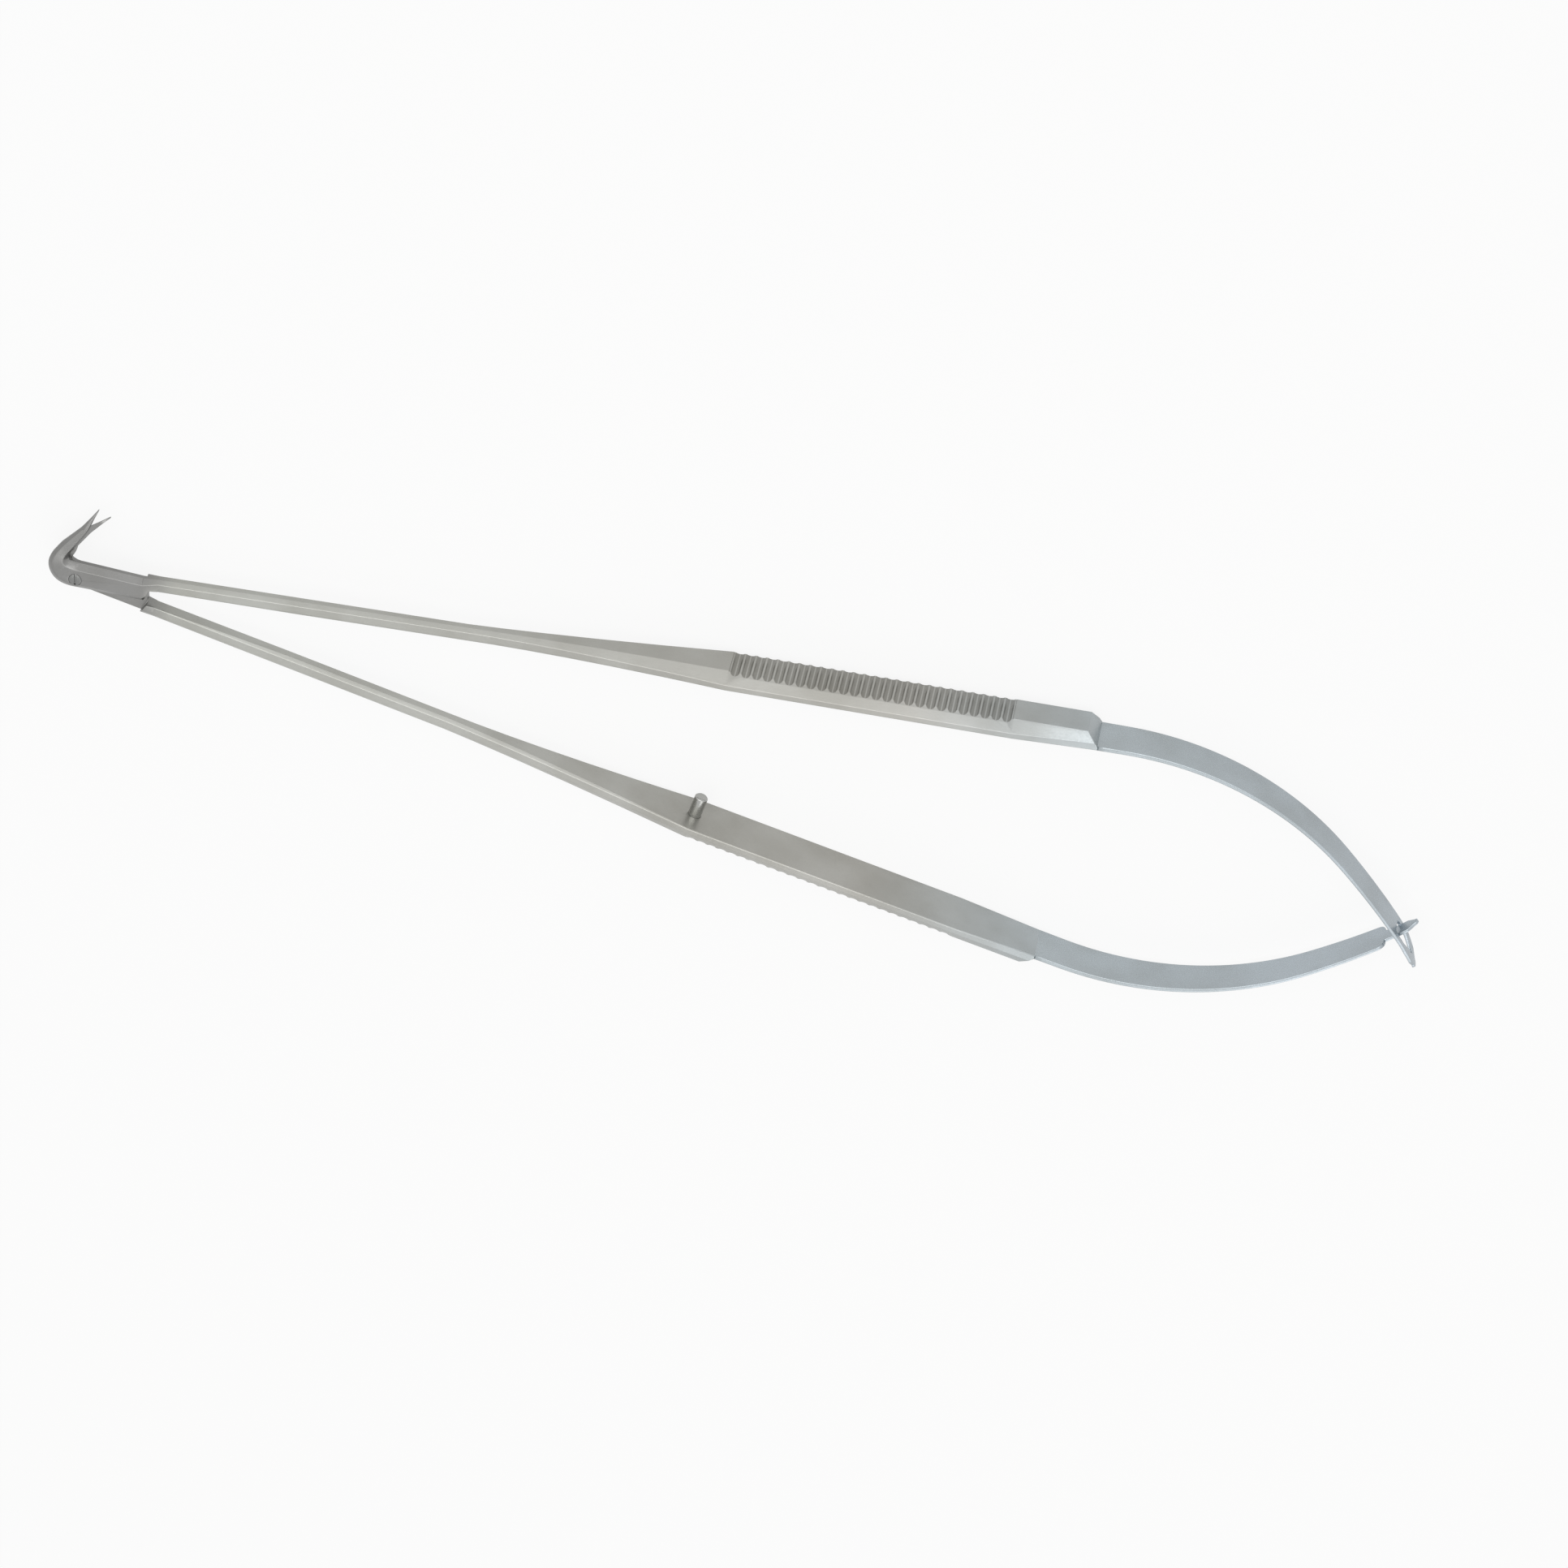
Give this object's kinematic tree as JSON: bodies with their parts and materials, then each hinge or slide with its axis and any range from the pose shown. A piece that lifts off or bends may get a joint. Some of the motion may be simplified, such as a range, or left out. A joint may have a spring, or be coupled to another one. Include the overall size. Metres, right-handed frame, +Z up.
{
  "type": "spring-handled micro scissors",
  "caption": "Slim micro scissors with flat serrated spring handles, a stop pin and short blades set back at an angle.",
  "frame": {"origin": "middle of the bounding box, on the surface the scissors lie on", "axes": "+X along the scissors towards the blades, +Y across the arms, +Z up, along the pivot axis"},
  "size_m": [0.2008, 0.0408, 0.008],
  "materials": {
    "arm_steel": "satin",
    "screw_steel": "satin",
    "pin_steel": "satin",
    "spring_steel": "satin"
  },
  "bodies": {
    "lower_arm_body": {"lower_arm": "arm_steel", "pivot_screw": "screw_steel", "stop_pin": "pin_steel", "lower_leaf_spring": "spring_steel"},
    "upper_arm_body": {"upper_arm": "arm_steel", "upper_leaf_spring": "spring_steel"}
  },
  "joints": [
    {"name": "pivot", "type": "hinge", "parent": "lower_arm_body", "child": "upper_arm_body", "pos_m": [0.09614, 0, 0.004], "axis": [0, 0, -1], "range_deg": [0, 12.7], "stiffness_Nm_per_rad": 0.4, "deforming": ["upper_leaf_spring", "lower_leaf_spring"]}
  ]
}
